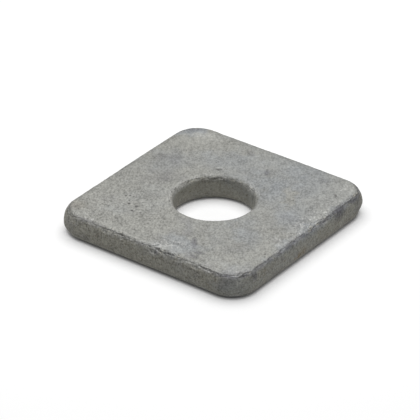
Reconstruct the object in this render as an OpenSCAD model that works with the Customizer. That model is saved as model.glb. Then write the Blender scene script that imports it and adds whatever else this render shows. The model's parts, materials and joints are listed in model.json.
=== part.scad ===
// Square plate washer, blanked from flat steel plate and hot-dip galvanised.
// Millimetres. The origin is the middle of the underside, and +Z runs up the bolt hole.
// Blanking and tumbling leave every edge rolled, above and below.

/* [Plate] */
// Length of each side
side = 50; // [40:1:80]
// Thickness of the finished plate
thickness = 6; // [5:0.5:12]
// Radius of the four corners, seen from above
corner_r = 6.5; // [4:0.1:10]

/* [Bolt hole] */
// Diameter of the hole, a clearance hole for the bolt
hole_d = 18; // [9:0.5:26]

/* [Edges] */
// Radius of the rolled edge round the top of the plate
top_roll_r = 1.9; // [0.4:0.1:2.4]
// Radius of the rolled edge round the underside of the plate
under_roll_r = 1.8; // [0.2:0.1:2.4]
// Radius of the rolled lip round the top of the hole
hole_top_roll_r = 1.3; // [0.2:0.1:2.4]
// Radius of the rolled lip round the underside of the hole
hole_under_roll_r = 1.6; // [0.2:0.1:2.4]

/* [Hidden] */
$fn = 96;

// How far a cutter runs past the face that it cuts
cut_past = 1;
// From the middle of the plate to the centre of each corner's curve
corner_at = side / 2 - corner_r;
hole_r = hole_d / 2;

// Half of the plate's section, from a corner's centre at x = 0 out to the plate's edge.
// Hulls are not used, so that both rounded edges stay true arcs.
module edge_section() {
    top_arc = [corner_r - top_roll_r, thickness - top_roll_r];
    under_arc = [corner_r - under_roll_r, under_roll_r];
    polygon([
        [0, 0],
        [under_arc.x, 0],
        under_arc,
        [corner_r, under_arc.y],
        [corner_r, top_arc.y],
        top_arc,
        [top_arc.x, thickness],
        [0, thickness]
    ]);
    translate(top_arc) circle(top_roll_r);
    translate(under_arc) circle(under_roll_r);
}

// One straight side of the plate, as long as the run between two corners
module straight_edge() {
    translate([corner_at, corner_at, 0])
        rotate([90, 0, 0])
            linear_extrude(2 * corner_at) edge_section();
}

// One corner of the plate: the edge section turned through a quarter
module round_corner() {
    translate([corner_at, corner_at, 0])
        rotate_extrude(angle = 90) edge_section();
}

// The plate before the hole is punched
module blank() {
    linear_extrude(thickness) square(2 * corner_at, center = true);
    for (turn = [0 : 90 : 270])
        rotate(turn) {
            straight_edge();
            round_corner();
        }
}

// A ring that rounds one rim of the hole. mouth_z is the face that the rim lies in, and
// into is 1 for the top rim and -1 for the underside.
module rim_cutter(rim_r, mouth_z, into) {
    arc_z = mouth_z - into * rim_r;
    rotate_extrude()
        difference() {
            translate([hole_r - rim_r, min(arc_z, mouth_z + into * cut_past)])
                square([2 * rim_r, rim_r + cut_past]);
            translate([hole_r + rim_r, arc_z]) circle(rim_r);
        }
}

// The punched hole, straight through, with both of its rims rounded
module bolt_hole() {
    translate([0, 0, -cut_past]) cylinder(r = hole_r, h = thickness + 2 * cut_past);
    rim_cutter(hole_top_roll_r, thickness, 1);
    rim_cutter(hole_under_roll_r, 0, -1);
}

module washer_plate() {
    color([0.62, 0.62, 0.61])
        difference() {
            blank();
            bolt_hole();
        }
}

washer_plate();
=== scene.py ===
# %% [markdown]
# A square plate washer.
# The washer is one flat piece of steel: blanked by a die, punched for a bolt, then dipped in molten zinc.
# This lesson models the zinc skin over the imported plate, gives it a galvanised finish, and sets a
# plain white studio and a camera round it. It starts by loading the plate as a fixed frame.

# %% Load the frame
import json
import math

import bmesh
import bpy
from mathutils import Matrix, Vector, kdtree, noise


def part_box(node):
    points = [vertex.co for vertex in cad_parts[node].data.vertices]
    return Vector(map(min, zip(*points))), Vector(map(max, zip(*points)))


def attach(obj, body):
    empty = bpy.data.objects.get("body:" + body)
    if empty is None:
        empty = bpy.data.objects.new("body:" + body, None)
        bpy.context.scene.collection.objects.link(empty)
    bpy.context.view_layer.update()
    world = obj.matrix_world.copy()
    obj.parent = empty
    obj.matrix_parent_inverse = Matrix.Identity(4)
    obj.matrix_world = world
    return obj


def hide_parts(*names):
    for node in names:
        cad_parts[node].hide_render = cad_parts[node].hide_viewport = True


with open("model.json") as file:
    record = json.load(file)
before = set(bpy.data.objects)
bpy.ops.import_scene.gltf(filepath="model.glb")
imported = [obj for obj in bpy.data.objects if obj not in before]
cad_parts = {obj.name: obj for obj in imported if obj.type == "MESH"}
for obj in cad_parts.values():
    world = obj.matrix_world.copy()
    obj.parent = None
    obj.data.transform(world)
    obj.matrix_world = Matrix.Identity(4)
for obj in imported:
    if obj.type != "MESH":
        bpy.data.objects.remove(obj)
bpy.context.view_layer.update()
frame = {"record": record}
plate_low, plate_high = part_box("washer_plate")
SIDE = plate_high[0] - plate_low[0]
THICKNESS = plate_high[2] - plate_low[2]
mounts = {mount["name"]: mount for mount in frame["record"]["mounts"]}
MM = 0.001
HOLE_R = mounts["bolt_hole"]["dims"]["r_mm"] * MM
print(f"plate {SIDE / MM:.2f} mm square, {THICKNESS / MM:.2f} mm thick, hole radius {HOLE_R / MM:.2f} mm")

# %% [markdown]
# Every step below works on one object at a time, the way a hand does: select it, change it, move on.
# Operators act on all that is selected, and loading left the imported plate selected, so one helper
# deselects everything first. A second helper picks edges by where they lie, and a third adds a
# modifier and applies it at once.


# %% Selecting by code
def take(thing):
    """Makes thing the only selected object."""
    bpy.ops.object.select_all(action="DESELECT")
    thing.select_set(True)
    bpy.context.view_layer.objects.active = thing


def pick_edges(thing, wanted):
    """In edit mode, selects the edges whose two ends pass the test."""
    bpy.ops.mesh.select_all(action="DESELECT")
    mesh = bmesh.from_edit_mesh(thing.data)
    for edge in mesh.edges:
        edge.select = wanted(edge.verts[0].co, edge.verts[1].co)
    bmesh.update_edit_mesh(thing.data)


def apply_modifier(thing, kind, **settings):
    """Adds a modifier, sets it, and applies it at once."""
    take(thing)
    modifier = thing.modifiers.new(kind.lower(), kind)
    for name, value in settings.items():
        setattr(modifier, name, value)
    bpy.ops.object.modifier_apply(modifier=modifier.name)


print("selection helpers ready")

# %% [markdown]
# The blank is a plain slab whose corners the die has rounded. It could be drawn as an outline and
# extruded. A cube with bevelled edges is quicker, and each bevel is one real feature: the corners,
# the rolled edge that the die pulls down round the top, and one nearly as round underneath.
# The zinc has its own lumps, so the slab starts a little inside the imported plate.

# %% The blank
CORNER_R = 6.5 * MM
TOP_ROLL_R = 1.9 * MM
UNDER_ROLL_R = 1.8 * MM
CORNER_STEPS = 24
TOP_ROLL_STEPS = 12
UNDER_ROLL_STEPS = 8
SKIN_ROOM = 0.06 * MM
# The share of the height within which an edge counts as lying in a face
AT_FACE = 0.01


def round_edges(radius, steps):
    """In edit mode, rounds the selected edges."""
    bpy.ops.mesh.bevel(offset=radius, segments=steps, affect="EDGES", clamp_overlap=False)


bpy.ops.object.select_all(action="DESELECT")
slab_side = SIDE - 2 * SKIN_ROOM
slab_top = THICKNESS - SKIN_ROOM
slab_height = THICKNESS - 2 * SKIN_ROOM
bpy.ops.mesh.primitive_cube_add(
    size=1, location=(0, 0, THICKNESS / 2), scale=(slab_side, slab_side, slab_height)
)
skin = bpy.context.object
skin.name = "galvanised_plate"
bpy.ops.object.transform_apply(location=True, rotation=True, scale=True)
bpy.ops.object.mode_set(mode="EDIT")
bpy.ops.mesh.select_mode(type="EDGE")
pick_edges(skin, lambda a, b: abs(a.z - b.z) > slab_height / 2)
round_edges(CORNER_R - SKIN_ROOM, CORNER_STEPS)
pick_edges(skin, lambda a, b: min(a.z, b.z) > (1 - AT_FACE) * slab_top)
round_edges(TOP_ROLL_R, TOP_ROLL_STEPS)
pick_edges(skin, lambda a, b: max(a.z, b.z) < AT_FACE * slab_top + SKIN_ROOM)
round_edges(UNDER_ROLL_R, UNDER_ROLL_STEPS)
bpy.ops.object.mode_set(mode="OBJECT")
print(f"blank: {len(skin.data.polygons)} faces")

# %% [markdown]
# The hole is punched from above, so its top rim is rolled over as well. A plain hole could be cut and
# its two rims bevelled afterwards. Here the punch itself carries their curve, so one cut makes all
# three: it is a disc, extruded and widened ring by ring, that flares at both mouths.

# %% The punched hole
LIP_ROLL_R = 1.3 * MM
UNDER_LIP_R = 1.6 * MM
PUNCH_PAST = 1.0 * MM
PUNCH_SIDES = 192
LIP_STEPS = 10


def punch_rings():
    """Radius and height of each ring of the punch, from below the plate to above it."""
    rings = [(HOLE_R + UNDER_LIP_R, SKIN_ROOM)]
    for step in range(1, LIP_STEPS + 1):
        turn = math.pi / 2 * step / LIP_STEPS
        ring_r = HOLE_R + UNDER_LIP_R * (1 - math.sin(turn))
        rings.append((ring_r, SKIN_ROOM + UNDER_LIP_R * (1 - math.cos(turn))))
    for step in range(LIP_STEPS + 1):
        turn = math.pi / 2 * step / LIP_STEPS
        ring_r = HOLE_R + LIP_ROLL_R * (1 - math.cos(turn))
        rings.append((ring_r, slab_top - LIP_ROLL_R * (1 - math.sin(turn))))
    rings.append((HOLE_R + LIP_ROLL_R, slab_top + PUNCH_PAST))
    return rings


bpy.ops.object.select_all(action="DESELECT")
disc_r, disc_z = HOLE_R + UNDER_LIP_R, -PUNCH_PAST
bpy.ops.mesh.primitive_circle_add(
    vertices=PUNCH_SIDES, radius=disc_r, fill_type="NGON", location=(0, 0, disc_z)
)
punch = bpy.context.object
bpy.ops.object.transform_apply(location=True, rotation=True, scale=True)
bpy.ops.object.mode_set(mode="EDIT")
bpy.ops.mesh.select_all(action="SELECT")
for next_r, next_z in punch_rings():
    bpy.ops.mesh.extrude_region_move(TRANSFORM_OT_translate={"value": (0, 0, next_z - disc_z)})
    wider = next_r / disc_r
    bpy.ops.transform.resize(value=(wider, wider, 1), center_override=(0, 0, next_z))
    disc_r, disc_z = next_r, next_z
bpy.ops.mesh.select_all(action="SELECT")
bpy.ops.mesh.normals_make_consistent(inside=False)
bpy.ops.object.mode_set(mode="OBJECT")
apply_modifier(skin, "BOOLEAN", operation="DIFFERENCE", solver="EXACT", object=punch)
bpy.data.objects.remove(punch, do_unlink=True)
print(f"punched: {len(skin.data.polygons)} faces")

# %% [markdown]
# Zinc covers every side alike, so the next steps want small, even faces all over. Subdividing the
# long faces of the slab would leave slivers. A voxel remesh gives even squares, and it keeps the
# rolls because they are several voxels wide.

# %% An even skin
SKIN_STEP = 0.26 * MM
apply_modifier(skin, "REMESH", mode="VOXEL", voxel_size=SKIN_STEP)
take(skin)
bpy.ops.object.shade_smooth()
print(f"skin: {len(skin.data.polygons)} faces")

# %% [markdown]
# The die and the punch tear the steel as they leave it, and the zinc drains thin there, so the rolled
# edges are ragged: short cracks and flakes that run along the edge. They could be carved one by one.
# Noise drawn out along the edge gives the same look, so one function says how torn an edge is at any
# point of it.

# %% Torn edges, the noise
TEAR_RUN = 5.0 * MM
FLAKE_LONG = 1.3 * MM
FLAKE_WIDE = 0.5 * MM
FLAKE_SHARE = 0.7
CRACK_LONG = 3.2 * MM
CRACK_WIDE = 1.1 * MM
CRACK_SHARE = 0.65
# How far from 0 the noise may be where it still counts as a crack
CRACK_BAND = 0.25
# What flakes and cracks have to pass before the edge is torn
LEFT_WHOLE = 0.16
OCTAVES = 3
OCTAVE_STEP = 2.0


def clamp(value, low, high):
    """The value, kept between the two limits."""
    return min(high, max(low, value))


def tear(place, inwards, below, ring_r):
    """How torn an edge is at a point: above 0 where it is torn away, and below 0 where it stands up."""
    along = Vector((place.x, place.y, 0)).normalized() * ring_r
    across = Vector((0, 0, inwards - below))
    flake = noise.fractal(along / FLAKE_LONG + across / FLAKE_WIDE, 0.7, OCTAVE_STEP, OCTAVES)
    line = noise.fractal(along / CRACK_LONG + across / CRACK_WIDE, 0.9, OCTAVE_STEP, OCTAVES)
    crack = max(0.0, 1 - abs(line) / CRACK_BAND)
    comes_and_goes = clamp(0.5 + 1.1 * noise.noise(place / TEAR_RUN), 0.15, 1.2)
    return (FLAKE_SHARE * flake + CRACK_SHARE * crack - LEFT_WHOLE) * comes_and_goes


print("tear noise ready")

# %% [markdown]
# Only the rolls are torn. Edge loops could be picked for that, but a voxel skin has none along its rolls,
# so two functions find the rolls again: one says how far a point lies inside the outline, and the other
# how near it is to a line that runs along a roll.


# %% Torn edges, the rolls
def inset(place):
    """How far a point lies inside the plate's outline, seen from above."""
    straight = SIDE / 2 - CORNER_R
    out_x = abs(place.x) - straight
    out_y = abs(place.y) - straight
    past = math.hypot(max(out_x, 0), max(out_y, 0))
    return CORNER_R - past - min(max(out_x, out_y), 0)


def roll_share(inwards, below, roll_r, turn, reach):
    """1 on a line along a rolled edge, part of the way round its roll, and 0 past the reach from it."""
    line_in = roll_r * (1 - math.cos(turn))
    line_below = roll_r * (1 - math.sin(turn))
    away = math.hypot(inwards - line_in, below - line_below) / reach
    return max(0.0, 1 - away * away)


print("roll functions ready")

# %% [markdown]
# Not every edge is torn alike. The near edges are worn more than the far ones, and worst in four runs.
# On the far edges the zinc has set as a smooth bead. The result is stored as two vertex groups, one for
# what is torn away and one for what stands up, and a Displace modifier moves each along its normals.

# %% Torn edges, near and far
EDGE_TEAR_TURN = math.radians(60)
EDGE_TEAR_REACH = 1.1 * MM
LIP_TEAR_TURN = math.radians(45)
LIP_TEAR_REACH = 1.1 * MM
TORN_DEPTH = 0.30 * MM
RAISED_HEIGHT = 0.16 * MM
# Towards the camera, seen from above
NEAR_X, NEAR_Y = 0.6, -0.8
WEAR = 0.7
WEAR_PER_MM = 0.06
LEAST_WEAR = 0.5
RUN_WEAR = 0.7
FAR_BEAD = 0.65
FAR_BEAD_TURN = math.radians(45)
FAR_BEAD_REACH = 1.0 * MM
# Millimetres beyond the middle of the plate where the bead starts and where it is full
BEAD_FROM, BEAD_FULL = 6.0, 14.0
# Each run: its middle and how far it reaches, in millimetres
WORN_RUNS = [
    ((-17.0, -24.5, 5.6), 8.0),
    ((5.0, -24.5, 5.6), 6.0),
    ((22.0, -23.0, 5.6), 5.0),
    ((24.5, 13.0, 5.6), 8.0),
]


def run_worn(place):
    """How near a point lies to the worst of the worn runs, from 0 to 1."""
    return max(0.0, *(1 - (place / MM - Vector(middle)).length / reach for middle, reach in WORN_RUNS))


torn = skin.vertex_groups.new(name="torn_away")
raised = skin.vertex_groups.new(name="standing_up")
for vertex in skin.data.vertices:
    spot = vertex.co
    below = THICKNESS - spot.z
    inwards = inset(spot)
    nearness = (NEAR_X * spot.x + NEAR_Y * spot.y) / MM
    worn = clamp(WEAR + WEAR_PER_MM * nearness, LEAST_WEAR, 1.0) + RUN_WEAR * run_worn(spot)
    far = clamp((-nearness - BEAD_FROM) / (BEAD_FULL - BEAD_FROM), 0.0, 1.0)
    depth = 0.0
    share = roll_share(inwards, below, TOP_ROLL_R, EDGE_TEAR_TURN, EDGE_TEAR_REACH)
    if share > 0:
        depth = share * worn * tear(spot, inwards, below, SIDE / 2)
    depth -= FAR_BEAD * far * roll_share(inwards, below, TOP_ROLL_R, FAR_BEAD_TURN, FAR_BEAD_REACH)
    from_bore = Vector((spot.x, spot.y)).length - HOLE_R
    share = roll_share(from_bore, below, LIP_ROLL_R, LIP_TEAR_TURN, LIP_TEAR_REACH)
    if share > 0:
        depth += share * tear(spot, from_bore, below, HOLE_R)
    if depth > 0:
        torn.add([vertex.index], min(depth, 1.0), "REPLACE")
    elif depth < 0:
        raised.add([vertex.index], min(-depth, 1.0), "REPLACE")
apply_modifier(skin, "DISPLACE", strength=-TORN_DEPTH, mid_level=0.0, vertex_group=torn.name)
apply_modifier(skin, "DISPLACE", strength=RAISED_HEIGHT, mid_level=0.0, vertex_group=raised.name)
print("edges torn")

# %% [markdown]
# Molten zinc never sets quite flat. It leaves long shallow waves and small lumps on every side. They
# could be sculpted. A Displace modifier with a cloud texture gives each from two numbers, its grain
# and its height, the same on every run.

# %% Waves and lumps
WAVE_GRAIN = 7.0 * MM
WAVE_HEIGHT = 0.10 * MM
LUMP_GRAIN = 0.6 * MM
LUMP_HEIGHT = 0.05 * MM


def relief(name, grain, height):
    """Raises and sinks the skin by a cloud texture of this grain."""
    clouds = bpy.data.textures.new(name, "CLOUDS")
    clouds.noise_scale = grain
    clouds.noise_depth = 2
    apply_modifier(skin, "DISPLACE", texture=clouds, texture_coords="LOCAL", strength=height, mid_level=0.5)


relief("waves", WAVE_GRAIN, WAVE_HEIGHT)
relief("lumps", LUMP_GRAIN, LUMP_HEIGHT)
print("waves and lumps raised")

# %% [markdown]
# A few marks are this washer's own: pits in the top, a short slit behind the hole, nicks along the
# near edge, two corners that bulge a little and a chip under one of them. They could be cut with small
# cutters. Proportional editing is how a hand would do it: pick a point, push it, and let its
# neighbours follow. Every length here is in millimetres.

# %% Pits, nicks and corners
# Each pit: where it is, how deep and how wide
TOP_PITS = [
    (-16.0, -10.8, 0.20, 0.50), (-15.2, -10.2, 0.20, 0.45), (-13.3, -13.0, 0.28, 0.60),
    (-11.3, -13.1, 0.26, 0.60), (-11.0, -15.0, 0.28, 0.55), (-8.9, -14.6, 0.20, 0.50),
    (-8.4, -11.4, 0.12, 0.50), (-3.9, -13.3, 0.12, 0.50), (20.6, 16.8, 0.22, 0.60),
    (14.4, 9.5, 0.12, 0.50), (15.1, 14.8, 0.10, 0.50), (-1.2, 19.5, 0.10, 0.50),
    (21.9, -12.7, 0.12, 0.45), (22.6, -12.3, 0.12, 0.45),
]
SLIT_START = (-6.9, 10.5)
SLIT_STEP = (0.18, 0.14)
SLIT_POINTS = 4
SLIT_DEPTH = 0.34
SLIT_REACH = 0.55
# Each nick: its place along the near edge, its height, how deep and how wide
EDGE_NICKS = [
    (-11.2, 5.3, 0.20, 0.7), (-6.1, 5.3, 0.15, 0.7), (2.2, 5.0, 0.36, 0.8), (8.7, 5.3, 0.14, 0.8),
    (13.1, 5.3, 0.18, 0.7),
]
NICK_Y = -24.6
NICK_HALF = 0.4
# How far a nick is pushed inwards, as a share of how far it is pushed down
NICK_INWARDS = 0.5
# The left and the right corner, pushed out, and the chip: where, which way, how wide
CORNER_PRESSES = [
    ((-23.7, -22.4, 2.4), (-0.30, -0.22, 0), 3.2),
    ((23.7, 22.4, 2.6), (0.31, 0.23, 0), 3.0),
    ((23.2, 21.4, 0.4), (-0.40, -0.26, 0.50), 3.4),
]


def press(path, push, reach):
    """Pushes the skin along a short path of points, fading out over the reach."""
    bpy.ops.mesh.select_all(action="DESELECT")
    mesh = bmesh.from_edit_mesh(skin.data)
    mesh.verts.ensure_lookup_table()
    for place in path:
        mesh.verts[finder.find(Vector(place) * MM)[1]].select = True
    bmesh.update_edit_mesh(skin.data)
    bpy.ops.transform.translate(value=Vector(push) * MM, use_proportional_edit=True,
                                proportional_edit_falloff="SMOOTH", proportional_size=reach * MM)


finder = kdtree.KDTree(len(skin.data.vertices))
for vertex in skin.data.vertices:
    finder.insert(vertex.co, vertex.index)
finder.balance()
take(skin)
bpy.ops.object.mode_set(mode="EDIT")
bpy.ops.mesh.select_mode(type="VERT")
top_mm = THICKNESS / MM
for pit_x, pit_y, depth, reach in TOP_PITS:
    press([(pit_x, pit_y, top_mm)], (0, 0, -depth), reach)
slit = []
for step in range(SLIT_POINTS):
    slit.append((SLIT_START[0] + SLIT_STEP[0] * step, SLIT_START[1] + SLIT_STEP[1] * step, top_mm))
press(slit, (0, 0, -SLIT_DEPTH), SLIT_REACH)
for nick_x, nick_z, depth, reach in EDGE_NICKS:
    nick = [(nick_x - NICK_HALF, NICK_Y, nick_z), (nick_x + NICK_HALF, NICK_Y, nick_z)]
    press(nick, (0, NICK_INWARDS * depth, -depth), reach)
for middle, push, reach in CORNER_PRESSES:
    press([middle], push, reach)
bpy.ops.object.mode_set(mode="OBJECT")
print(f"{len(TOP_PITS)} pits, a slit and {len(EDGE_NICKS)} nicks pressed, {len(CORNER_PRESSES)} corner marks")

# %% [markdown]
# Dull oxide gathers in the hollows. It could be painted on by hand. Vertex paint has a tool for it,
# which finds every hollow: it darkens each vertex that lies lower than its neighbours, and stores the
# result in a colour attribute for the material.

# %% Oxide in the hollows
take(skin)
bpy.ops.geometry.color_attribute_add(
    name="hollows", domain="CORNER", data_type="FLOAT_COLOR", color=(1, 1, 1, 1)
)
bpy.ops.paint.vertex_color_dirt(blur_strength=0.5, blur_iterations=0, clean_angle=math.pi, dirt_angle=0.0)
tones = sorted(item.color[0] for item in skin.data.attributes["hollows"].data)
print(f"hollow tones from {tones[0]:.2f} to {tones[-1]:.2f}, half of them under {tones[len(tones) // 2]:.2f}")

# %% [markdown]
# The finish is worked out in a node tree. Dozens of Math nodes linked by hand are hard to read, so
# one small class wraps a socket and lets Python's own operators add the nodes.


# %% Shader maths
class Sock:
    """A node's output socket, on which Python's operators add Math nodes."""

    def __init__(self, socket):
        self.socket = socket
        self.tree = socket.id_data

    def node(self, kind, settings=None, inputs=None, output=0):
        """Adds a node of any kind: its settings first, then the values or links of its sockets."""
        made = self.tree.nodes.new(kind)
        for name, value in (settings or {}).items():
            setattr(made, name, value)
        for name, value in (inputs or {}).items():
            if isinstance(value, Sock):
                self.tree.links.new(value.socket, made.inputs[name])
            else:
                made.inputs[name].default_value = value
        return Sock(made.outputs[output])

    def maths(self, operation, first, second=0.0):
        """Adds one Math node."""
        return self.node("ShaderNodeMath", {"operation": operation}, {0: first, 1: second})

    def __add__(self, other):
        return self.maths("ADD", self, other)

    __radd__ = __add__

    def __sub__(self, other):
        return self.maths("SUBTRACT", self, other)

    def __rsub__(self, other):
        return self.maths("SUBTRACT", other, self)

    def __mul__(self, other):
        return self.maths("MULTIPLY", self, other)

    __rmul__ = __mul__

    def __abs__(self):
        return self.maths("ABSOLUTE", self)

    def least(self, other):
        return self.maths("MINIMUM", self, other)

    def most(self, other):
        return self.maths("MAXIMUM", self, other)

    def parts(self):
        """The three numbers of a vector."""
        split = self.node("ShaderNodeSeparateXYZ", {}, {0: self})
        return [Sock(part) for part in split.socket.node.outputs]

    def ramp(self, low, high):
        """0 at low, 1 at high, and a smooth step between. It falls where low is above high."""
        return self.node("ShaderNodeMapRange", {"interpolation_type": "SMOOTHSTEP"},
                         {"Value": self, "From Min": low, "From Max": high})

    def noise(self, per_mm, detail=2.0, roughness=0.5, output=0):
        """Noise at this many grains to the millimetre, read from coordinates in millimetres."""
        return self.node("ShaderNodeTexNoise", {},
                         {"Vector": self, "Scale": per_mm, "Detail": detail, "Roughness": roughness}, output)

    def vector_maths(self, operation, second=(0, 0, 0), third=(0, 0, 0), scale=1.0, output=0):
        """Adds one Vector Math node, with this socket as its first vector."""
        return self.node("ShaderNodeVectorMath", {"operation": operation},
                         {0: self, 1: second, 2: third, 3: scale}, output)

    def root(self):
        return self.maths("SQRT", self)

    def blend(self, first, second, kind="MIX"):
        """Mixes two colours, with this socket as the share of the second."""
        return self.node("ShaderNodeMix", {"data_type": "RGBA", "blend_type": kind},
                         {0: self, 6: first, 7: second}, output=2)

    def turned(self, degrees):
        """Coordinates on axes that are turned about the upright."""
        return self.node("ShaderNodeMapping", {"vector_type": "TEXTURE"},
                         {"Vector": self, "Rotation": (0, 0, math.radians(degrees))})

    def spot(self, centre, size):
        """A soft spot on coordinates in millimetres: 1 in its middle quarter and 0 past its size."""
        closer = [1 / reach for reach in size]
        shift = [-middle / reach for middle, reach in zip(centre, size)]
        away = self.vector_maths("MULTIPLY_ADD", closer, shift).vector_maths("LENGTH", output=1)
        return away.ramp(1.0, 0.25)


def new_material(name):
    """An empty material: its shader, and coordinates in millimetres on the piece itself."""
    material = bpy.data.materials.new(name)
    material.use_nodes = True
    tree = material.node_tree
    shader = tree.nodes["Principled BSDF"]
    place = Sock(tree.nodes.new("ShaderNodeTexCoord").outputs["Object"])
    place = place.node("ShaderNodeMapping", {}, {"Vector": place, "Scale": (1 / MM, 1 / MM, 1 / MM)})
    return material, shader, place


def feed(shader, name, value):
    """Links a value to one of the shader's inputs."""
    shader.id_data.links.new(value.socket, shader.inputs[name])


print("shader helpers ready")

# %% [markdown]
# Several parts of the finish follow the edges: the walls are browner than the top, and the floor's
# shade is deepest against the plate. Both need to know how far a point lies from the outline and
# from the hole, so the sum is written once, for shader sockets in millimetres.


# %% Distances from the edges
def from_outline(place):
    """How far a point lies inside the outline, and below 0 outside it."""
    x, y = place.parts()[:2]
    straight = (SIDE / 2 - CORNER_R) / MM
    out_x = abs(x) - straight
    out_y = abs(y) - straight
    far_x = out_x.most(0.0)
    far_y = out_y.most(0.0)
    past = (far_x * far_x + far_y * far_y).root()
    return CORNER_R / MM - past - out_x.most(out_y).least(0.0)


def from_hole(place):
    """How far a point lies outside the hole, and below 0 inside it."""
    x, y = place.parts()[:2]
    return (x * x + y * y).root() - HOLE_R / MM


print("distances from the outline and the hole ready")

# %% [markdown]
# This washer has marks of its own: cool and light patches, smudges, bare flecks, rust and pits. They
# could be painted on an image. Soft spots need none and lie on the walls as well as on the top. Each is
# read off the picture: where its middle is, how far it reaches along each axis, its turn about the
# upright, and how strong it is. A turn of 37 degrees lines a spot up with the picture. A few light
# patches are painted fill light instead: the long one on the right-hand wall and those on the front corner.

# %% Marks on the zinc
COOL_PATCHES = [
    ((10.0, 13.0, 6.0), (24.0, 20.0, 6.0), 37, 0.35), ((6.0, 22.5, 6.0), (14.0, 6.0, 3.0), 0, 0.28),
    ((8.1, 10.5, 6.0), (5.0, 8.0, 2.0), 15, 0.40), ((13.6, 16.0, 6.0), (7.0, 8.0, 2.0), 0, 0.30),
    ((17.5, 3.5, 6.0), (6.0, 10.0, 2.0), 30, 0.32), ((12.7, 10.0, 6.0), (1.8, 7.0, 2.0), 37, -0.60),
    ((-8.5, 15.0, 6.0), (10.0, 6.0, 2.0), 37, 0.45), ((14.5, -8.6, 6.0), (4.0, 10.0, 2.0), 37, 0.42),
    ((6.4, -19.8, 6.0), (8.0, 4.5, 2.0), 20, 0.60), ((-17.4, 7.1, 6.0), (8.0, 7.0, 2.0), 37, 0.35),
    ((-12.2, -5.5, 6.0), (7.0, 5.0, 2.0), 37, 0.20), ((-22.0, 21.0, 6.0), (5.0, 4.0, 3.0), 37, 0.95),
    ((25.0, 2.0, 5.3), (3.0, 27.0, 1.4), 0, 0.8), ((22.0, -22.0, 3.0), (6.0, 6.0, 5.0), 0, 0.6),
    ((25.0, 0.0, 2.5), (1.5, 27.0, 3.2), 0, 0.4),
]
# Lighter zinc; the long spot on the right-hand wall and the spots on the front corner's walls are painted
# fill light
LIGHT_ZINC_AND_PAINTED_FILL = [
    ((-17.9, 20.0, 6.0), (6.0, 4.5, 2.0), 37, 1.0), ((6.0, -22.2, 6.0), (4.0, 1.6, 2.0), 10, 0.9),
    ((20.9, 20.5, 6.0), (3.5, 3.5, 2.0), 0, 0.7), ((19.2, -19.3, 6.0), (5.0, 4.0, 2.0), 0, 0.3),
    ((21.9, -10.2, 6.0), (3.0, 6.0, 2.0), 0, 0.2), ((22.7, 8.0, 6.0), (2.2, 5.0, 2.0), 0, 0.9),
    ((-19.6, -0.5, 6.0), (3.0, 5.0, 2.0), 0, 0.4), ((1.0, 19.0, 6.0), (4.0, 3.0, 2.0), 37, 0.4),
    ((25.0, -2.0, 3.0), (2.5, 30.0, 4.5), 0, 1.0), ((18.7, -25.0, 4.2), (2.6, 1.4, 1.6), 0, 1.0),
    ((24.2, -22.8, 4.9), (1.8, 2.0, 1.6), 0, 1.0), ((24.6, 4.8, 6.0), (1.6, 3.0, 1.4), 0, 1.0),
    ((23.2, 20.6, 6.0), (2.0, 2.4, 1.2), 0, 1.0), ((10.3, -3.0, 6.0), (1.2, 3.2, 2.0), 17, 0.7),
    ((22.5, -22.5, 3.0), (4.0, 4.0, 4.0), 0, 0.7),
]
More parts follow.
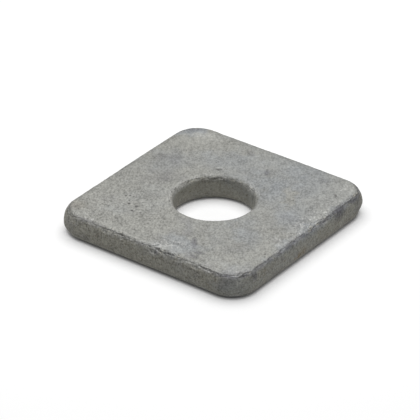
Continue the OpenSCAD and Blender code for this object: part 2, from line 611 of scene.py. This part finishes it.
DARK_SMUDGES = [
    ((2.9, 15.6, 6.0), (1.0, 1.9, 1.0), 37, 0.90), ((-5.3, 20.8, 6.0), (1.6, 2.0, 1.0), 37, 0.40),
    ((-20.1, 7.4, 6.0), (2.2, 3.0, 1.0), 37, 0.36), ((-17.2, 8.5, 6.0), (2.2, 4.0, 1.0), 37, 0.40),
    ((-13.8, -0.2, 6.0), (2.8, 3.4, 1.0), 37, 0.36), ((-16.6, -2.4, 6.0), (3.2, 3.0, 1.0), 37, 0.30),
    ((-17.5, 4.5, 6.0), (7.0, 7.0, 1.0), 37, 0.16), ((15.4, 20.1, 6.0), (1.8, 1.4, 1.0), 37, 0.36),
    ((7.9, -17.7, 6.0), (0.9, 3.2, 1.0), 37, 1.00), ((2.7, -12.8, 6.0), (0.9, 3.0, 1.0), 37, 0.45),
    ((4.3, -15.4, 6.0), (1.8, 2.4, 1.0), 37, 0.50), ((10.3, -22.8, 6.0), (1.8, 1.2, 1.0), 20, 0.55),
    ((10.9, -20.4, 6.0), (2.4, 0.7, 1.0), 12, 0.80), ((11.0, -22.0, 6.0), (0.7, 2.6, 1.0), 75, 0.60),
    ((24.7, 12.2, 5.0), (2.0, 2.7, 2.3), 0, 1.00), ((24.3, 18.8, 5.3), (1.8, 2.8, 1.4), 15, 0.42),
    ((24.6, 19.4, 3.0), (1.8, 2.6, 2.8), 0, 0.55), ((25.0, -19.0, 4.5), (1.4, 1.1, 1.5), 0, 1.00),
    ((21.4, -23.9, 5.0), (3.0, 2.0, 1.3), 20, 0.50), ((20.6, -24.6, 3.4), (2.6, 2.0, 2.0), 10, 0.45),
    ((25.0, -9.4, 4.1), (1.2, 1.4, 0.8), 0, 0.55), ((25.0, -11.5, 1.6), (1.2, 4.0, 1.0), 0, 0.35),
    ((20.2, -22.9, 6.0), (2.2, 0.8, 1.0), 18, 0.60), ((22.0, -22.0, 6.0), (2.0, 0.8, 1.0), 45, 0.50),
    ((23.2, -20.6, 6.0), (2.2, 0.8, 1.0), 72, 0.70), ((15.8, -23.2, 6.0), (2.2, 0.9, 1.0), 8, 0.50),
    ((-1.6, -24.4, 5.7), (2.6, 0.8, 0.8), 0, 0.60), ((-16.5, -24.2, 5.8), (4.6, 0.9, 0.8), 0, 0.60),
    ((21.8, 2.2, 6.0), (1.8, 2.6, 1.0), 0, 0.40), ((0.6, -11.6, 6.0), (2.2, 1.8, 1.0), 37, 0.35),
    ((-22.0, 21.6, 6.0), (2.8, 1.6, 1.4), 37, 0.60),
    ((-22.5, -21.6, 6.0), (2.8, 2.4, 1.2), 37, 0.35), ((-21.2, -24.6, 3.0), (3.2, 1.8, 2.6), 0, 0.35),
    ((-13.0, 2.0, 6.0), (4.5, 4.5, 1.0), 37, 0.24), ((16.4, -14.0, 6.0), (4.4, 2.8, 1.0), 37, 0.26),
    ((-16.4, -25.0, 2.0), (2.6, 1.2, 1.2), 0, 0.40), ((2.9, -24.8, 5.0), (0.9, 1.2, 0.7), 0, 1.00),
    ((9.1, -25.0, 4.6), (2.0, 1.2, 1.0), 0, 0.36), ((14.0, -25.0, 3.9), (1.4, 1.2, 0.9), 0, 0.36),
    ((17.2, -25.0, 3.1), (1.0, 1.2, 0.7), 0, 0.40), ((24.0, 13.8, 5.8), (1.1, 1.8, 0.8), 0, 0.70),
    ((18.6, 2.8, 6.0), (3.8, 2.2, 1.0), 10, 0.30), ((-9.2, 10.4, 6.0), (2.0, 1.6, 1.0), 37, 0.25),
    ((-17.6, 1.2, 6.0), (2.2, 2.0, 1.0), 37, 0.26), ((1.6, -16.8, 6.0), (1.8, 2.2, 1.0), 37, 0.25),
    ((0.0, -20.5, 6.0), (1.6, 3.0, 1.0), 20, 0.22), ((-12.2, -24.1, 5.8), (1.6, 0.8, 0.8), 0, 0.40),
    ((21.4, -6.2, 6.0), (1.8, 2.2, 1.0), 0, 0.25), ((-10.3, 2.8, 6.0), (1.4, 3.0, 1.0), 17, 0.24),
    ((-24.0, -21.5, 2.4), (1.6, 2.2, 2.4), 0, 0.40), ((-18.0, -14.0, 6.0), (3.4, 2.4, 1.0), 50, 0.20),
]
BARE_FLECKS = [
    ((-15.5, -23.2, 6.0), (0.5, 0.8, 0.8), 0, 0.9), ((3.0, -22.8, 6.0), (0.5, 0.8, 0.8), 37, 1.0),
    ((4.3, -21.8, 6.0), (1.9, 0.4, 0.8), 45, 0.8), ((2.1, -20.6, 6.0), (0.4, 0.7, 0.8), 37, 0.9),
    ((22.6, -23.7, 1.0), (1.8, 1.4, 0.4), 37, 0.4), ((-18.8, 20.8, 6.0), (2.8, 2.2, 1.0), 37, 0.3),
    ((24.7, 6.8, 5.4), (1.4, 3.4, 1.3), 0, 0.42), ((24.4, -10.2, 5.7), (1.0, 2.2, 0.9), 0, 0.30),
    ((24.0, -23.0, 4.3), (1.8, 1.8, 1.6), 45, 0.25),
]
FLECK_ZONES = [
    ((22.4, 3.5, 6.0), (3.6, 18.0, 2.0), 0, 1.0), ((4.0, -21.4, 6.0), (6.0, 3.2, 2.0), 20, 1.0),
    ((20.9, 20.5, 6.0), (4.0, 4.0, 2.0), 0, 0.6), ((20.0, -21.5, 6.0), (7.0, 3.0, 2.0), 20, 0.6),
    ((-19.0, -24.2, 4.6), (8.0, 2.4, 2.4), 0, 0.7),
]
RUST_SPOTS = [
    ((25.0, -3.3, 1.8), (1.2, 0.8, 0.6), 0, 1.0), ((25.0, -4.5, 1.8), (1.2, 0.6, 0.6), 0, 0.7),
    ((25.0, -1.8, 2.0), (1.2, 2.4, 1.3), 0, 0.45), ((-22.0, -20.4, 6.0), (3.4, 2.8, 1.2), 37, 0.2),
]
PIT_SHADES = [
    ((pit_x, pit_y, 6.0), (0.8 * reach, 1.2 * reach, 1.0), 37, 3.5 * depth)
    for pit_x, pit_y, depth, reach in TOP_PITS
]
SLIT_SHADE = ((-6.6, 10.7, 6.0), (0.9, 0.6, 1.0), 37, 1.0)
PIT_SHADES.append(SLIT_SHADE)
COARSE_ZONES = [
    ((-14.0, -16.0, 6.0), (22.0, 18.0, 9.0), 0, 0.8), ((12.0, -20.0, 6.0), (16.0, 10.0, 9.0), 0, 0.5),
    ((-21.0, -23.0, 3.5), (9.0, 6.0, 5.0), 0, 0.8), ((22.0, 4.0, 6.0), (5.0, 18.0, 4.0), 0, 0.6),
]


def all_spots(place, marks):
    """The marks of one kind, added up, to 1 at most."""
    total = 0.0
    axes = {turn: place.turned(turn) for turn in sorted({mark[2] for mark in marks})}
    for centre, size, turn, strength in marks:
        turned_centre = Matrix.Rotation(-math.radians(turn), 3, "Z") @ Vector(centre)
        total = axes[turn].spot(turned_centre, size) * strength + total
    return total.least(1.0)


own_marks = COOL_PATCHES + LIGHT_ZINC_AND_PAINTED_FILL + DARK_SMUDGES + BARE_FLECKS + RUST_SPOTS + PIT_SHADES
print(f"{len(own_marks)} marks and {len(FLECK_ZONES + COARSE_ZONES)} zones listed")

# %% [markdown]
# Galvanised steel weathers to a dull grey. Here it is warm on the left and bluish on the right, and
# browner on the walls, where the steel was sheared. A picture could be laid over the plate, but it
# would stretch on the walls, so the colour is built from the marks and from noise. Their outlines are
# made ragged by reading them at coordinates that noise has shifted.

# %% Zinc, warm, cool and brown
WARM_ZINC = (0.344, 0.343, 0.318, 1)
COOL_ZINC = (0.299, 0.313, 0.321, 1)
WALL_TINT = (0.955, 0.935, 0.870, 1)
WALL_BROWN = (0.175, 0.150, 0.105, 1)
# The middle value of noise in colour, and how far it shifts each kind of outline, in millimetres
NOISE_MIDDLE = (0.5, 0.5, 0.5)
RAGGED_BY = 1.6
FRAYED_BY = 0.8
TORN_OUT_BY = (11.0, 11.0, 0.5)
# The way in which the zinc drained, and how far the grain is drawn out along it
DRAIN_TURN = math.radians(36)
DRAWN_BY = (1.0, 1.5, 1.0)
# How far inside an edge the wall's colour starts to fade, and where it ends
WALL_FADE = (0.15, 0.8)

material, shader, place = new_material("galvanised_zinc")
wander = place.noise(0.9, detail=3.0, output=1).vector_maths("SUBTRACT", NOISE_MIDDLE)
ragged = place.vector_maths("ADD", wander.vector_maths("SCALE", scale=RAGGED_BY))
frayed = place.vector_maths("ADD", wander.vector_maths("SCALE", scale=FRAYED_BY))
drift = place.noise(0.20, detail=4.0, roughness=0.6, output=1).vector_maths("SUBTRACT", NOISE_MIDDLE)
torn_out = place.vector_maths("ADD", drift.vector_maths("MULTIPLY", TORN_OUT_BY))
drawn = place.node("ShaderNodeMapping", {"vector_type": "TEXTURE"},
                   {"Vector": place, "Rotation": (0, 0, DRAIN_TURN), "Scale": DRAWN_BY})
outer_wall = 1 - from_outline(ragged).ramp(*WALL_FADE)
wall = outer_wall.most(1 - from_hole(ragged).ramp(*WALL_FADE))
cool_clouds = ragged.noise(0.10, detail=4.0, roughness=0.6).ramp(0.45, 0.75)
cool = all_spots(torn_out, COOL_PATCHES) + cool_clouds * 0.4
colour = cool.least(1.0).blend(WARM_ZINC, COOL_ZINC)
colour = wall.blend(colour, WALL_TINT, "MULTIPLY")
brown = place.noise(1.7, detail=2.0).ramp(0.56, 0.72) * wall * 0.45
colour = brown.blend(colour, WALL_BROWN)
print("zinc: warm, cool and brown parts mixed")

# %% [markdown]
# Over that go the marks: dark smudges and pits, a little rust, flecks scraped bright, dull oxide in
# the hollows that the vertex paint found, and the crests, which are rubbed lighter. Each is one mix of
# the colour so far with the mark's own colour, so a mark can be turned up or down by its share alone.

# %% Zinc, marks and oxide
SMUDGE = (0.125, 0.122, 0.138, 1)
# Dark oxide, also used as painted shade on the far side of the hole's lip
OXIDE_AND_PAINTED_SHADE = (0.080, 0.080, 0.076, 1)
# Bare zinc, also used as painted light on the two sides of the hole's lip
BARE_AND_PAINTED_LIGHT = (0.62, 0.62, 0.60, 1)
RUST = (0.210, 0.150, 0.070, 1)

mark_layers = [
    (frayed, DARK_SMUDGES, 0.60, SMUDGE),
    (ragged, RUST_SPOTS, 0.70, RUST),
    (place, PIT_SHADES, 0.75, OXIDE_AND_PAINTED_SHADE),
    (frayed, BARE_FLECKS, 0.72, BARE_AND_PAINTED_LIGHT),
]
for outline, marks, share, mark_colour in mark_layers:
    colour = (all_spots(outline, marks) * share).blend(colour, mark_colour)
flecks = drawn.noise(1.9, detail=2.0).ramp(0.53, 0.64) * all_spots(ragged, FLECK_ZONES)
colour = (flecks * 0.60).blend(colour, BARE_AND_PAINTED_LIGHT)
hollow = place.node("ShaderNodeVertexColor", {"layer_name": "hollows"}, {})
tone = hollow.parts()[0]
colour = ((1 - tone.ramp(0.40, 0.53)) * 0.60).blend(colour, OXIDE_AND_PAINTED_SHADE)
colour = (tone.ramp(0.60, 0.74) * 0.30).blend(colour, BARE_AND_PAINTED_LIGHT)
print("zinc: marks and oxide laid over it")

# %% [markdown]
# The rolled edges need finer lines than the skin's faces can hold: hairline cracks along the edge, with
# thin bright flakes between them. They use the same idea as the torn edges above, in the shader: noise
# that is drawn out along the edge, and dark only where it crosses its middle value. A dull violet band
# follows the right-hand edge: a violet tint with painted dark reflection on the middle of its roll. A
# dark broken crease follows both near edges. The hole's lip has painted shade on its far side, where its
# roll lies in shadow, and painted light at its two sides.

# %% Zinc, cracks along the edges
# A violet tint and painted dark reflection on the middle of the right-hand roll
VIOLET_AND_PAINTED_REFLECTION = (0.130, 0.125, 0.155, 1)
FLAKE = (0.44, 0.42, 0.35, 1)
# Grains to the millimetre of the cracks, along the edge and across it
CRACKS_ALONG = 0.40
CRACKS_ACROSS = 1.3
# Reads the flakes at another place in the noise than the cracks
FLAKE_SHIFT = (7.0, 3.0, 5.0)

x, y, z = place.parts()
below = THICKNESS / MM - z
worst = all_spots(place, [(middle, (reach, reach, reach), 0, 1.0) for middle, reach in WORN_RUNS])
comes_and_goes = (place.noise(0.22, detail=1.0).ramp(0.40, 0.58) + worst).least(1.0)


def cracked(base, across, middle, crack_share, flake_share):
    """Lays cracks and flakes over a colour along one edge, near the middle of the path across its roll."""
    near_edge = (1 - abs(across - middle).ramp(0.5, 1.3)) * comes_and_goes
    run = place.node("ShaderNodeCombineXYZ", {},
                     {0: x * CRACKS_ALONG, 1: y * CRACKS_ALONG, 2: across * CRACKS_ACROSS})
    crack = 1 - abs(run.noise(1.0, detail=3.0, roughness=0.65) - 0.5).ramp(0.005, 0.032)
    flake = run.vector_maths("ADD", FLAKE_SHIFT).noise(1.6, detail=2.0).ramp(0.58, 0.68)
    base = (flake * near_edge * flake_share).blend(base, FLAKE)
    return (crack * near_edge * crack_share).blend(base, OXIDE_AND_PAINTED_SHADE)


over_edge = from_outline(place) - below
wobble = place.noise(0.45, detail=4.0, roughness=0.7) - 0.5
broken = place.noise(0.55, detail=2.0, roughness=0.6).ramp(0.36, 0.58)
right_edge = x.ramp(13.0, 20.0)
near_edges = right_edge.most((0 - y).ramp(13.0, 20.0))
# Painted dark reflection with a violet tint, along the middle of the right-hand roll
reflection_band = (1 - abs(over_edge + wobble * 1.4 - 0.15).ramp(0.35, 0.9)) * right_edge
crease = (1 - abs(over_edge + wobble * 1.8 - 0.60).ramp(0.06, 0.30)) * near_edges
colour = (reflection_band * (0.16 + 0.28 * broken)).blend(colour, VIOLET_AND_PAINTED_REFLECTION)
colour = (crease * (0.18 + 0.42 * broken)).blend(colour, OXIDE_AND_PAINTED_SHADE)
colour = cracked(colour, over_edge, middle=0.55, crack_share=0.80, flake_share=0.70)
# Each side of the lip is found from a distance along one direction, seen from above
far_side = (y * 0.89 - x * 0.45).ramp(7.2, 9.2)
lip = (1 - from_hole(ragged).ramp(0.4, 1.4)) * (1 - below.ramp(0.8, 1.8))
lip_side = 1 - abs(y * 0.80 - x * 0.60).ramp(6.0, 8.5)
left_side = 1 - (x * 0.80 + y * 0.60).ramp(-4.0, 4.0)
# Painted shade on the far side of the lip, where its roll lies in shadow
colour = (lip * far_side * 0.36).blend(colour, OXIDE_AND_PAINTED_SHADE)
# Painted light on the lip's two sides, more on the left and lower down, where they face the light
painted_lip_light = 0.08 + 0.26 * left_side + 0.22 * below.ramp(0.4, 1.0)
colour = (lip * lip_side * painted_lip_light).blend(colour, BARE_AND_PAINTED_LIGHT)
over_lip = from_hole(place) - below
colour = cracked(colour, over_lip, middle=0.0, crack_share=0.68, flake_share=0.60)
print("zinc: cracks laid along the edges")

# %% [markdown]
# Last comes the grain. It is drawn out a little one way, as zinc is where it drains off a hanging
# plate. It is coarsest near the front left, with dark specks there. Real lumps this fine would need
# millions of faces, so the grain shades the colour, and a bump of it roughens the surface.

# %% Zinc, grain and sheen
GRAIN_BUMP = 0.05 * MM
BUMP_STRENGTH = 0.5
METALLIC = 0.35
LIGHT_SHARE = 0.13

coarse = all_spots(place, COARSE_ZONES)
grain = drawn.noise(2.6, detail=2.0, roughness=0.6)
specks = drawn.noise(1.9, detail=2.0, roughness=0.6).ramp(0.58, 0.74)
mottle = drawn.noise(0.7, detail=3.0, roughness=0.6)
broad = place.noise(0.20, detail=2.0)
streaks = place.vector_maths("MULTIPLY", (1.4, 1.4, 0.2)).noise(1.0, detail=3.0, roughness=0.65)
strength = 1.35 + 0.50 * coarse + 0.6 * outer_wall
shade = 1.0 + (grain - 0.5) * strength + (mottle - 0.5) * (0.62 + 0.2 * coarse)
shade = shade + (broad - 0.5) * 0.40 - specks * (0.10 + 0.25 * coarse) + (streaks - 0.5) * wall * 0.6
# Lighter zinc, and painted fill light on the right-hand wall and the front corner
shade = shade + all_spots(ragged, LIGHT_ZINC_AND_PAINTED_FILL) * LIGHT_SHARE
colour = colour.vector_maths("SCALE", scale=shade)
feed(shader, "Base Color", colour)
feed(shader, "Roughness", 0.50 + 0.3 * mottle)
bump = place.node("ShaderNodeBump", {}, {"Strength": BUMP_STRENGTH, "Distance": GRAIN_BUMP, "Height": grain})
feed(shader, "Normal", bump)
shader.inputs["Metallic"].default_value = METALLIC
print(f"zinc: {len(shader.id_data.nodes)} nodes")

# %% [markdown]
# The skin now takes the imported plate's place: it hides that solid and moves with the same body. It
# wears the zinc material.

# %% The skin on the frame
skin.data.materials.append(material)
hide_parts("washer_plate")
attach(skin, "root")
print(f"{skin.name} rides root")

# %% [markdown]
# The washer lies on a white sweep. A plain white floor would do, but next to a plate this thin it
# goes grey too far out. So the floor that the camera sees also glows: not at all under the plate, partly
# beside it and fully 40 mm out, and in the hole along the rim and hardly in the middle. The light that
# the floor throws back on the plate does not change.

# %% The floor
FLOOR_SIZE = 4.0
FLOOR_BOUNCE = 0.37
FLOOR_WHITE = 0.97
FLOOR_SHADED = 0.565
FLOOR_GLOW = 0.50
# Where the glow starts at an edge of the plate, in millimetres, and where it has come up
EDGE_GLOW = (-1.4, 0.2)
RIM_GLOW_SHARE = 0.52
MIDDLE_LOSS = 0.46


def grey(level):
    """A grey of this level, as a colour."""
    return (level, level, level, 1)


bpy.ops.object.select_all(action="DESELECT")
bpy.ops.mesh.primitive_plane_add(size=FLOOR_SIZE)
floor = bpy.context.object
floor.name = "floor"
floor_material, floor_shader, floor_place = new_material("white_floor")
floor_shader.inputs["Roughness"].default_value = 1.0
floor_shader.inputs["Specular IOR Level"].default_value = 0.0
paths = floor_place.node("ShaderNodeLightPath", output="Is Camera Ray")
seen = paths.most(Sock(paths.socket.node.outputs["Is Glossy Ray"]))
beside = -1 * from_outline(floor_place)
within = -1 * from_hole(floor_place)
open_floor = beside.ramp(*EDGE_GLOW) * 0.65 + beside.ramp(2.0, 12.0) * 0.20
open_floor = open_floor + beside.ramp(10.0, 40.0) * 0.15
rim_glow = RIM_GLOW_SHARE - within.ramp(1.0, 6.0) * MIDDLE_LOSS
open_floor = open_floor + within.ramp(*EDGE_GLOW) * rim_glow
seen_white = open_floor.blend(grey(FLOOR_WHITE), grey(FLOOR_SHADED))
feed(floor_shader, "Base Color", seen.blend(grey(FLOOR_BOUNCE), seen_white))
feed(floor_shader, "Emission Color", (seen * open_floor).blend(grey(0), grey(FLOOR_GLOW)))
floor_shader.inputs["Emission Strength"].default_value = 1.0
floor.data.materials.append(floor_material)
print("floor laid")

# %% [markdown]
# One round softbox hangs overhead, a little behind the plate as the camera sees it, with a faint white
# sky round it, so the walls that face the camera lie in soft shade. Several lamps could share the work,
# but one leaves a single soft shadow.

# %% The light
SOFTBOX_AT = (-0.035, 0.04, 0.30)
SOFTBOX_SIZE = 0.35
SOFTBOX_POWER = 1.075
SKY_STRENGTH = 0.14


def softbox(name, place, target, size, power):
    """A round area light that faces its target."""
    lamp = bpy.data.lights.new(name, "AREA")
    lamp.shape = "DISK"
    lamp.size = size
    lamp.energy = power
    thing = bpy.data.objects.new(name, lamp)
    bpy.context.collection.objects.link(thing)
    thing.location = place
    thing.rotation_euler = (Vector(target) - Vector(place)).to_track_quat("-Z", "Y").to_euler()


world = bpy.data.worlds.new("studio")
bpy.context.scene.world = world
world.use_nodes = True
sky = world.node_tree.nodes["Background"]
sky.inputs["Color"].default_value = (1, 1, 1, 1)
sky.inputs["Strength"].default_value = SKY_STRENGTH
softbox("overhead", SOFTBOX_AT, (0, 0, 0), SOFTBOX_SIZE, SOFTBOX_POWER)
print("softbox and sky lit")

# %% [markdown]
# The picture was taken from above the near corner with a long lens. The camera's place was found by
# fitting the plate's outline and the hole to the picture, so the numbers below are odd ones.

# %% The camera
CAMERA_AZIMUTH = math.radians(36.603)
CAMERA_ELEVATION = math.radians(30.824)
CAMERA_ROLL = math.radians(-0.219)
CAMERA_DISTANCE = 12.669 * SIDE
AIM_RIGHT = -0.0175 * SIDE
AIM_DOWN = -0.0477 * SIDE
PIXELS_A_SIDE = 228.21
FRAME_PIXELS = 420
SENSOR = 36.0
CLIP_END = 100

level = math.cos(CAMERA_ELEVATION)
back_x = math.sin(CAMERA_AZIMUTH) * level
back_y = -math.cos(CAMERA_AZIMUTH) * level
back = Vector((back_x, back_y, math.sin(CAMERA_ELEVATION)))
level_right = Vector((math.cos(CAMERA_AZIMUTH), math.sin(CAMERA_AZIMUTH), 0))
level_up = back.cross(level_right)
right = math.cos(CAMERA_ROLL) * level_right - math.sin(CAMERA_ROLL) * level_up
up = back.cross(right)
eye = right * AIM_RIGHT - up * AIM_DOWN + back * CAMERA_DISTANCE
camera_data = bpy.data.cameras.new("camera")
camera_data.sensor_width = SENSOR
camera_data.lens = SENSOR * PIXELS_A_SIDE * (CAMERA_DISTANCE / SIDE) / FRAME_PIXELS
camera = bpy.data.objects.new("camera", camera_data)
bpy.context.collection.objects.link(camera)
camera.matrix_world = Matrix.Translation(eye) @ Matrix((right, up, back)).transposed().to_4x4()
camera_data.clip_end = CLIP_END
bpy.context.scene.camera = camera
bpy.context.scene.view_settings.view_transform = "Standard"
print(f"camera {CAMERA_DISTANCE:.3f} m from the plate, lens {camera_data.lens:.0f} mm")
